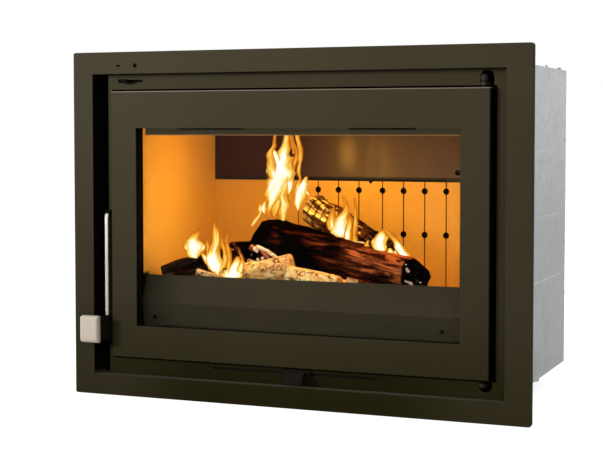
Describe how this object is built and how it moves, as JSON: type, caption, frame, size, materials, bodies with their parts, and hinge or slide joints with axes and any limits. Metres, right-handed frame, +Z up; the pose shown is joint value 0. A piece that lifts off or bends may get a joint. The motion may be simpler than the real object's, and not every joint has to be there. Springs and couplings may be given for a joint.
{
  "type": "wood-burning fireplace insert",
  "caption": "Built-in wood-burning fireplace insert: dark steel trim, glazed side-hung door with lever handle, lined firebox with a log fire, convection casing, flue collar.",
  "frame": {"origin": "middle of the footprint, on the hearth plane under the feet and the trim", "axes": "+X to the right seen from the room, +Y back into the chimney breast, +Z up along the flue"},
  "size_m": [0.8, 0.52, 0.596],
  "materials": {
    "front_paint": "matt heat-resistant paint, warm dark grey",
    "black_steel": "matt black heat-resistant paint",
    "guard_paint": "satin heat-resistant paint, sooted",
    "stove_paint": "matt grey-black heat-resistant paint",
    "heat_plate": "heat-darkened rolled steel",
    "galvanised_sheet": "galvanised sheet with spangle",
    "vermiculite": "pressed vermiculite board, matt",
    "cast_iron": "raw sand-cast iron",
    "zinc_steel": "zinc-plated steel",
    "ceramic_glass": "clear glass ceramic",
    "seal_rope": "braided glass-fibre rope, graphite grey",
    "bright_bar": "satin stainless steel",
    "satin_grip": "satin beige powder coat",
    "embers": "ash and glowing charcoal",
    "charred_oak": "charred split oak with bark",
    "birch": "scorched birch bark"
  },
  "bodies": {
    "root": {"trim_frame": "front_paint", "front_fascia": "front_paint", "firebox_face": "black_steel", "firebox_shell": "stove_paint", "side_brick_left": "vermiculite", "side_brick_right": "vermiculite", "back_brick_left": "vermiculite", "back_brick_right": "vermiculite", "floor_bricks_side": "vermiculite", "floor_bricks_end": "vermiculite", "grate": "cast_iron", "ash_box": "stove_paint", "ash_pan": "galvanised_sheet", "upper_back_plate": "heat_plate", "baffle_slabs": "vermiculite", "smoke_deflector": "stove_paint", "airwash_deflector": "guard_paint", "log_guard": "guard_paint", "casing_left": "galvanised_sheet", "casing_right": "galvanised_sheet", "casing_back": "galvanised_sheet", "casing_top": "galvanised_sheet", "casing_base": "galvanised_sheet", "flue_collar": "stove_paint", "hot_air_spigots": "galvanised_sheet", "air_intake_spigot": "galvanised_sheet", "air_duct": "galvanised_sheet", "levelling_feet": "zinc_steel", "foot_nuts": "zinc_steel", "hinge_lugs": "black_steel", "upper_hinge_pin": "black_steel", "lower_hinge_pin": "black_steel", "thrust_washer": "black_steel", "latch_keeper": "black_steel", "ember_bed": "embers", "log_large": "charred_oak", "log_rear": "charred_oak", "log_left": "charred_oak", "log_left_rear": "charred_oak", "log_birch_left": "birch", "log_birch_right": "birch", "log_cross_left": "charred_oak", "log_cross_right": "charred_oak"},
    "door": {"door_frame": "front_paint", "hinge_blocks": "black_steel", "door_back_frame": "black_steel", "door_glass": "ceramic_glass", "glass_tape": "seal_rope", "glass_retainers": "black_steel", "retainer_screws": "zinc_steel", "door_rope": "seal_rope", "handle_bearings": "black_steel"},
    "handle": {"handle_bar": "bright_bar", "handle_grip": "satin_grip", "handle_arm": "black_steel", "latch_cam": "black_steel"},
    "airwash_control": {"airwash_slider": "black_steel", "airwash_tab": "black_steel"},
    "primary_control": {"primary_slider": "black_steel", "primary_lever": "black_steel"}
  },
  "joints": [
    {"name": "door_hinge", "type": "hinge", "parent": "root", "child": "door", "pos_m": [0.32, -0.222, 0.2926], "axis": [0, 0, 1], "range_deg": [0, 110]},
    {"name": "handle_turn", "type": "hinge", "parent": "door", "child": "handle", "pos_m": [-0.342, -0.228, 0.2235], "axis": [0, 0, 1], "range_deg": [0, 30]},
    {"name": "airwash_slide", "type": "slide", "parent": "root", "child": "airwash_control", "axis": [1, 0, 0], "range_m": [-0.004, 0.022]},
    {"name": "primary_slide", "type": "slide", "parent": "root", "child": "primary_control", "axis": [1, 0, 0], "range_m": [-0.03, 0.03]}
  ]
}
